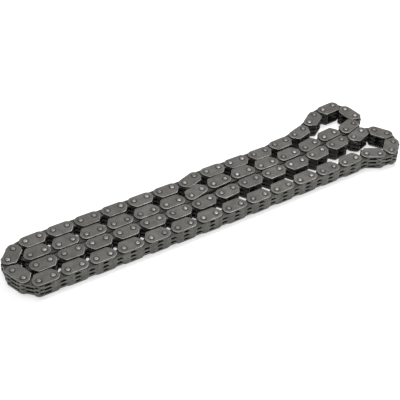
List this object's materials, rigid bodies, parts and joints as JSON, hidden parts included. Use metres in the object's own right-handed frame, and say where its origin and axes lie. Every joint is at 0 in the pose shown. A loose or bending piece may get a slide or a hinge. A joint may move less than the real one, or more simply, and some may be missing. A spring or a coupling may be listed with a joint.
{
  "type": "timing chain",
  "caption": "Endless silent timing chain with inverted teeth, laced guide and toothed plates on riveted pins, lying folded in close parallel runs.",
  "frame": {"origin": "middle of the folded chain's bounding box, at the bottom, on the plane of the lower pin ends", "axes": "+X along the four runs, towards the end with the tall open bend; +Y across the runs, towards the first run; +Z along the pins, up"},
  "size_m": [0.1957, 0.0469, 0.0076],
  "materials": {
    "guide_plate": "tumbled warm grey steel with burnished rims",
    "tooth_plate": "oiled dark greenish-grey steel",
    "pin": "bright riveted steel with a punch mark"
  },
  "bodies": {
    "middle_runs": {"second_run_guide_plates": "guide_plate", "second_run_tooth_plates": "tooth_plate", "second_run_pins": "pin", "fold_link_tooth_plates": "tooth_plate", "third_run_guide_plates": "guide_plate", "third_run_tooth_plates": "tooth_plate", "third_run_pins": "pin"},
    "front_bend_link_a": {"front_bend_inner_link_a": "tooth_plate"},
    "front_bend_link_b": {"front_bend_guide_plates_a": "guide_plate", "front_bend_tooth_plates_a": "tooth_plate", "front_bend_pins_a": "pin"},
    "front_bend_link_c": {"front_bend_inner_link_b": "tooth_plate"},
    "front_bend_link_d": {"front_bend_guide_plates_b": "guide_plate", "front_bend_tooth_plates_b": "tooth_plate", "front_bend_pins_b": "pin"},
    "front_bend_link_e": {"front_bend_inner_link_c": "tooth_plate"},
    "fourth_run_a": {"fourth_run_guide_plates_a": "guide_plate", "fourth_run_tooth_plates_a": "tooth_plate", "fourth_run_pins_a": "pin"},
    "fourth_run_b": {"fourth_run_guide_plates_b": "guide_plate", "fourth_run_tooth_plates_b": "tooth_plate", "fourth_run_pins_b": "pin"},
    "fourth_run_c": {"fourth_run_guide_plates_c": "guide_plate", "fourth_run_tooth_plates_c": "tooth_plate", "fourth_run_pins_c": "pin"},
    "fourth_run_d": {"fourth_run_guide_plates_d": "guide_plate", "fourth_run_tooth_plates_d": "tooth_plate", "fourth_run_pins_d": "pin"},
    "end_bend_link_c": {"end_bend_inner_link_b": "tooth_plate"},
    "end_bend_link_d": {"end_bend_guide_plates_b": "guide_plate", "end_bend_tooth_plates_b": "tooth_plate", "end_bend_pins_b": "pin"},
    "end_bend_link_e": {"end_bend_inner_link_c": "tooth_plate"},
    "back_bend_link_a": {"back_bend_inner_link_a": "tooth_plate"},
    "back_bend_link_b": {"back_bend_guide_plates": "guide_plate", "back_bend_tooth_plates": "tooth_plate", "back_bend_pins": "pin"},
    "back_bend_link_c": {"back_bend_inner_link_b": "tooth_plate"},
    "first_run_a": {"first_run_guide_plates_a": "guide_plate", "first_run_tooth_plates_a": "tooth_plate", "first_run_pins_a": "pin"},
    "first_run_b": {"first_run_guide_plates_b": "guide_plate", "first_run_tooth_plates_b": "tooth_plate", "first_run_pins_b": "pin"},
    "first_run_c": {"first_run_guide_plates_c": "guide_plate", "first_run_tooth_plates_c": "tooth_plate", "first_run_pins_c": "pin"},
    "first_run_d": {"first_run_guide_plates_d": "guide_plate", "first_run_tooth_plates_d": "tooth_plate", "first_run_pins_d": "pin"},
    "end_bend_link_b": {"end_bend_inner_link_a": "tooth_plate"},
    "end_bend_link_a": {"end_bend_guide_plates_a": "guide_plate", "end_bend_tooth_plates_a": "tooth_plate", "end_bend_pins_a": "pin"}
  },
  "joints": [
    {"name": "front_bend_pivot_a", "type": "hinge", "parent": "middle_runs", "child": "front_bend_link_a", "pos_m": [0.08543, -0.00201, 0.00379], "axis": [0, 0, 1], "range_deg": [0, 20]},
    {"name": "front_bend_pivot_b", "type": "hinge", "parent": "front_bend_link_a", "child": "front_bend_link_b", "pos_m": [0.09123, -0.00459, 0.00379], "axis": [0, 0, 1], "range_deg": [0, 24]},
    {"name": "front_bend_pivot_c", "type": "hinge", "parent": "front_bend_link_b", "child": "front_bend_link_c", "pos_m": [0.09478, -0.00985, 0.00379], "axis": [0, 0, 1], "range_deg": [0, 30]},
    {"name": "front_bend_pivot_d", "type": "hinge", "parent": "front_bend_link_c", "child": "front_bend_link_d", "pos_m": [0.09335, -0.01604, 0.00379], "axis": [0, 0, 1], "range_deg": [0, 24]},
    {"name": "front_bend_pivot_e", "type": "hinge", "parent": "front_bend_link_d", "child": "front_bend_link_e", "pos_m": [0.08863, -0.02029, 0.00379], "axis": [0, 0, 1], "range_deg": [0, 30]},
    {"name": "front_bend_pivot_f", "type": "hinge", "parent": "front_bend_link_e", "child": "fourth_run_a", "pos_m": [0.08231, -0.01963, 0.00379], "axis": [0, 0, 1], "range_deg": [0, 20]},
    {"name": "fourth_run_pivot_a", "type": "hinge", "parent": "fourth_run_a", "child": "fourth_run_b", "pos_m": [0.03872, -0.01579, 0.00379], "axis": [0, 0, 1], "range_deg": [0, 15]},
    {"name": "fourth_run_pivot_b", "type": "hinge", "parent": "fourth_run_b", "child": "fourth_run_c", "pos_m": [-0.00572, -0.0149, 0.00379], "axis": [0, 0, 1], "range_deg": [0, 15]},
    {"name": "fourth_run_pivot_c", "type": "hinge", "parent": "fourth_run_c", "child": "fourth_run_d", "pos_m": [-0.05014, -0.01335, 0.00379], "axis": [0, 0, 1], "range_deg": [0, 15]},
    {"name": "end_bend_pivot_c", "type": "hinge", "parent": "fourth_run_d", "child": "end_bend_link_c", "pos_m": [-0.08822, -0.01202, 0.00379], "axis": [0, 0, 1], "range_deg": [0, 30]},
    {"name": "end_bend_pivot_d", "type": "hinge", "parent": "end_bend_link_c", "child": "end_bend_link_d", "pos_m": [-0.09271, -0.00753, 0.00379], "axis": [0, 0, 1], "range_deg": [0, 20]},
    {"name": "end_bend_pivot_e", "type": "hinge", "parent": "end_bend_link_d", "child": "end_bend_link_e", "pos_m": [-0.09478, -0.00153, 0.00379], "axis": [0, 0, 1], "range_deg": [0, 20]},
    {"name": "back_bend_pivot_a", "type": "hinge", "parent": "middle_runs", "child": "back_bend_link_a", "pos_m": [0.0858, 0.0042, 0.00379], "axis": [0, 0, -1], "range_deg": [0, 20]},
    {"name": "back_bend_pivot_b", "type": "hinge", "parent": "back_bend_link_a", "child": "back_bend_link_b", "pos_m": [0.09034, 0.00864, 0.00379], "axis": [0, 0, -1], "range_deg": [0, 30]},
    {"name": "back_bend_pivot_c", "type": "hinge", "parent": "back_bend_link_b", "child": "back_bend_link_c", "pos_m": [0.08928, 0.0149, 0.00379], "axis": [0, 0, -1], "range_deg": [0, 20]},
    {"name": "back_bend_pivot_d", "type": "hinge", "parent": "back_bend_link_c", "child": "first_run_a", "pos_m": [0.08592, 0.02029, 0.00379], "axis": [0, 0, -1], "range_deg": [0, 40]},
    {"name": "first_run_pivot_a", "type": "hinge", "parent": "first_run_a", "child": "first_run_b", "pos_m": [0.04341, 0.01005, 0.00379], "axis": [0, 0, -1], "range_deg": [0, 15]},
    {"name": "first_run_pivot_b", "type": "hinge", "parent": "first_run_b", "child": "first_run_c", "pos_m": [-0.00092, 0.01028, 0.00379], "axis": [0, 0, -1], "range_deg": [0, 15]},
    {"name": "first_run_pivot_c", "type": "hinge", "parent": "first_run_c", "child": "first_run_d", "pos_m": [-0.0451, 0.00986, 0.00379], "axis": [0, 0, -1], "range_deg": [0, 15]},
    {"name": "end_bend_pivot_a", "type": "hinge", "parent": "first_run_d", "child": "end_bend_link_b", "pos_m": [-0.08318, 0.01074, 0.00379], "axis": [0, 0, -1], "range_deg": [0, 10]},
    {"name": "end_bend_pivot_b", "type": "hinge", "parent": "end_bend_link_b", "child": "end_bend_link_a", "pos_m": [-0.08937, 0.00932, 0.00379], "axis": [0, 0, -1], "range_deg": [0, 25]}
  ]
}
